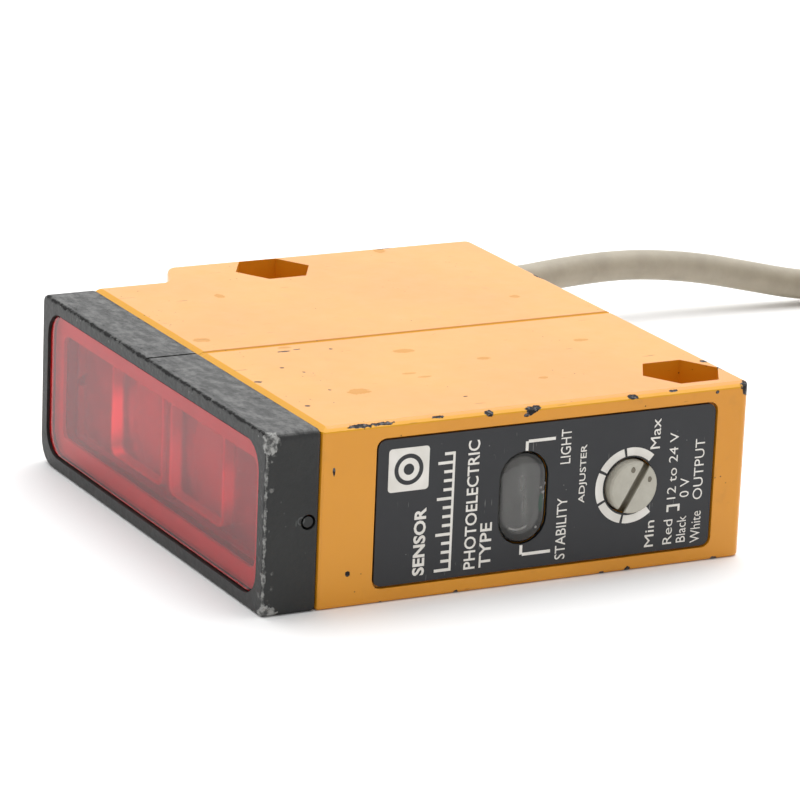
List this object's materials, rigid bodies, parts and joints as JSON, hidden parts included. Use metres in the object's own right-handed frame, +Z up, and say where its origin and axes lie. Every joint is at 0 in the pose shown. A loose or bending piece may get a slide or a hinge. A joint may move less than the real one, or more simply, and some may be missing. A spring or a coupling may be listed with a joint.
{
  "type": "photoelectric sensor",
  "caption": "Flat painted-metal photoelectric sensor with a red front window, side indicator, screwdriver adjuster, nut pockets and a coiled pre-wired cord.",
  "frame": {"origin": "centre of the sensor's footprint on the face it lies on, without the cord", "axes": "+X towards the side with the plate and adjuster, -Y towards the window, +Z up, out of the face with the nut pockets"},
  "size_m": [0.0947, 0.1783, 0.0203],
  "materials": {
    "yellow_paint": "satin enamel, worn at the edges",
    "black_paint": "satin enamel, rubbed to bare metal at the corners",
    "red_filter": "polished, see-through red",
    "clear_plastic": "polished, clear",
    "black_plastic": "moulded matt",
    "plate_print": "printed black film with white marks",
    "cream_plastic": "moulded satin",
    "blue_plastic": "moulded satin",
    "rubber": "matt",
    "adhesive": "cured, matt",
    "steel": "plain",
    "tinplate": "bright tin",
    "circuit_board": "green solder mask",
    "red_led": "tinted clear",
    "green_led": "tinted clear",
    "cord_sheath": "soft vinyl, slightly soiled",
    "red_wire": "vinyl",
    "black_wire": "vinyl",
    "white_wire": "vinyl"
  },
  "bodies": {
    "sensor_body": {"housing": "yellow_paint", "base_cover": "yellow_paint", "front_bezel": "black_paint", "filter_window": "red_filter", "window_adhesive": "adhesive", "case_gasket": "rubber", "base_gasket": "rubber", "bezel_pin_near": "steel", "bezel_pin_far": "steel", "cover_screw_front_near": "steel", "cover_screw_front_far": "steel", "cover_screw_rear_near": "steel", "cover_screw_rear_far": "steel", "optical_block": "black_plastic", "emitter_lens": "clear_plastic", "receiver_lens": "clear_plastic", "optics_board": "circuit_board", "emitter_led": "red_led", "receiver_photodiode": "steel", "main_board": "circuit_board", "board_screw_near": "steel", "board_screw_far": "steel", "control_ic": "black_plastic", "amplifier_ic": "black_plastic", "output_transistor": "black_plastic", "filter_capacitor": "tinplate", "shield_can": "tinplate", "board_header": "black_plastic", "nameplate": "plate_print", "indicator_lens": "clear_plastic", "led_holder": "black_plastic", "light_led": "red_led", "stability_led": "green_led", "pot_case": "blue_plastic", "cable_bushing": "rubber", "cable_inner": "cord_sheath", "cable_clamp": "steel", "wire_red": "red_wire", "wire_black": "black_wire", "wire_white": "white_wire", "cord_free": "cord_sheath", "cord_coil": "cord_sheath", "cord_tail": "cord_sheath", "coil_tie": "black_plastic", "lead_red": "red_wire", "lead_black": "black_wire", "lead_white": "white_wire"},
    "adjuster": {"adjuster_knob": "cream_plastic", "adjuster_oring": "rubber", "pot_rotor": "cream_plastic"}
  },
  "joints": [
    {"name": "adjuster_turn", "type": "hinge", "parent": "sensor_body", "child": "adjuster", "pos_m": [0.03225, 0.0147, 0.00975], "axis": [-1, 0, 0], "range_deg": [-250, 12]}
  ]
}
